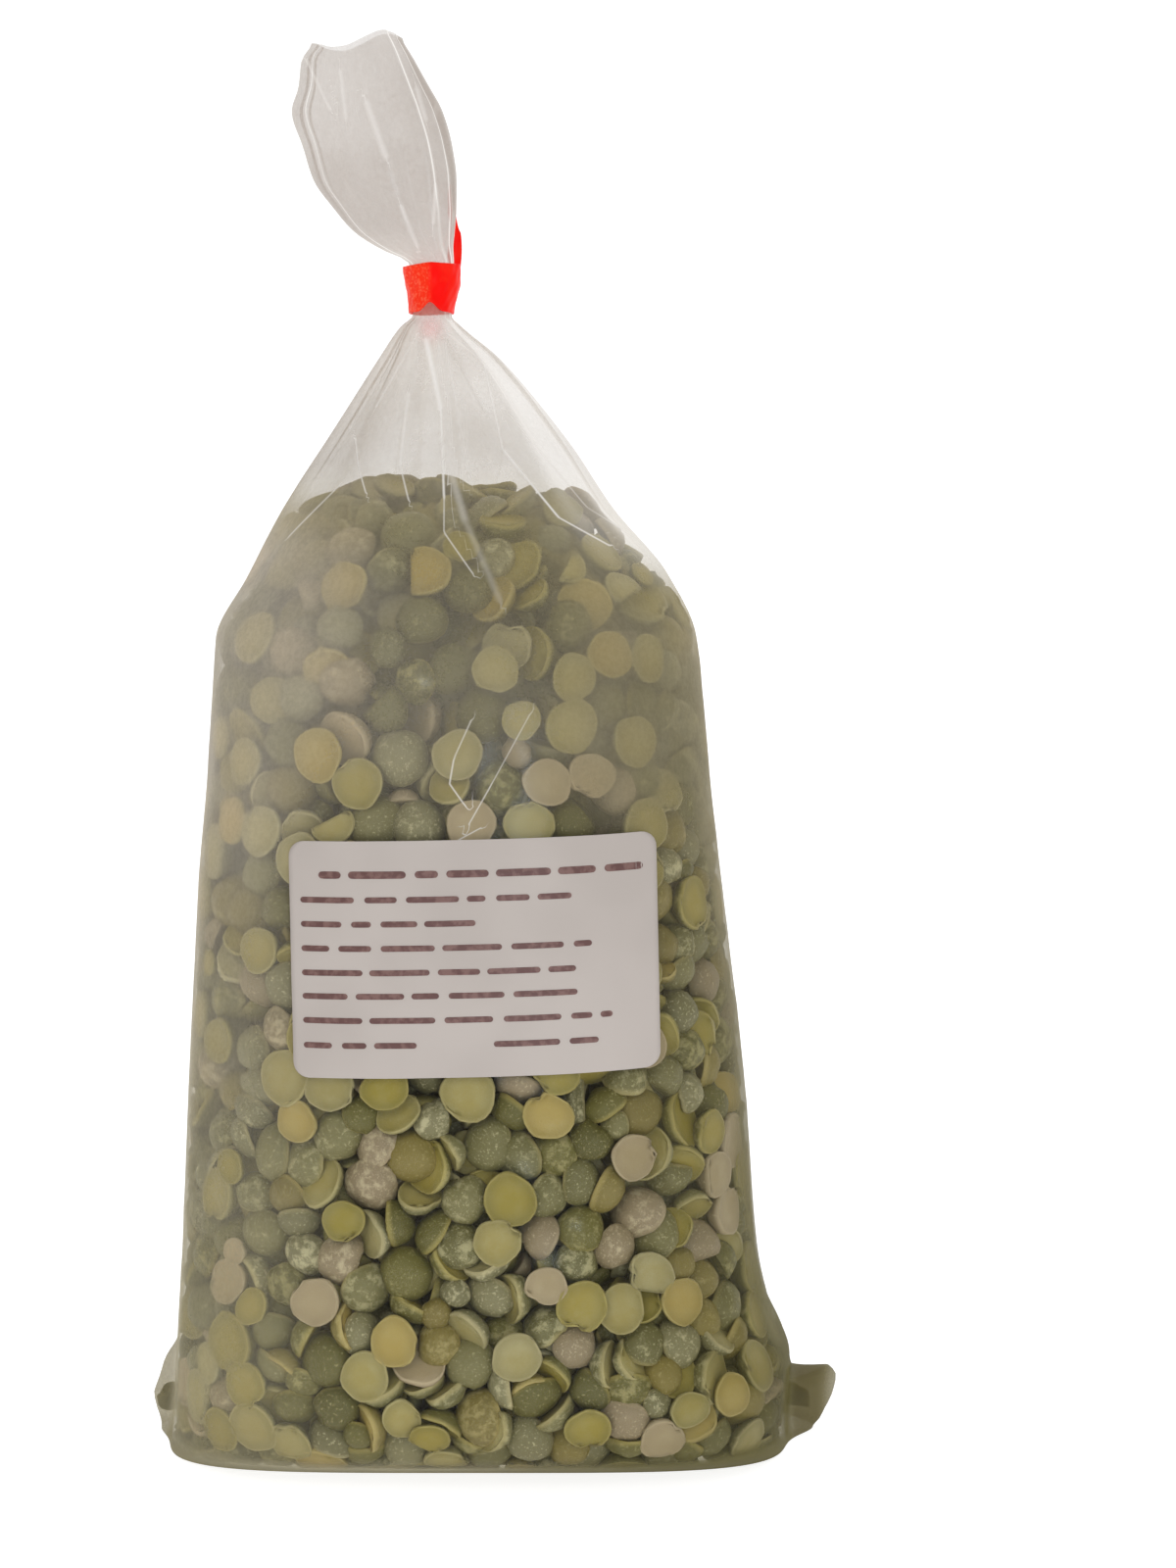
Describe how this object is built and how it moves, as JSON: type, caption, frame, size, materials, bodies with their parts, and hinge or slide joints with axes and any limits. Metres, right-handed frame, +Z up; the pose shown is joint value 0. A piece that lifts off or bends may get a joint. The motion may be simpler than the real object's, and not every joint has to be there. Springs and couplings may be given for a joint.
{
  "type": "pack of split peas",
  "caption": "Clear pillow bag filled with dried split peas, gathered at the neck, closed with tape, with a paper label on its front, standing on its flat base.",
  "frame": {"origin": "middle of the flat underside that the bag stands on", "axes": "+Z up through the bag, the labelled front faces -Y, +X to the right of someone who looks at the label"},
  "size_m": [0.1039, 0.0728, 0.2096],
  "materials": {
    "clear_film": "thin clear glossy film over olive green split peas",
    "label_paper": "matt white paper",
    "red_tape": "glossy red adhesive tape"
  },
  "bodies": {
    "root": {"filled_bag": "clear_film", "paper_label": "label_paper", "closing_tape": "red_tape"}
  },
  "joints": []
}
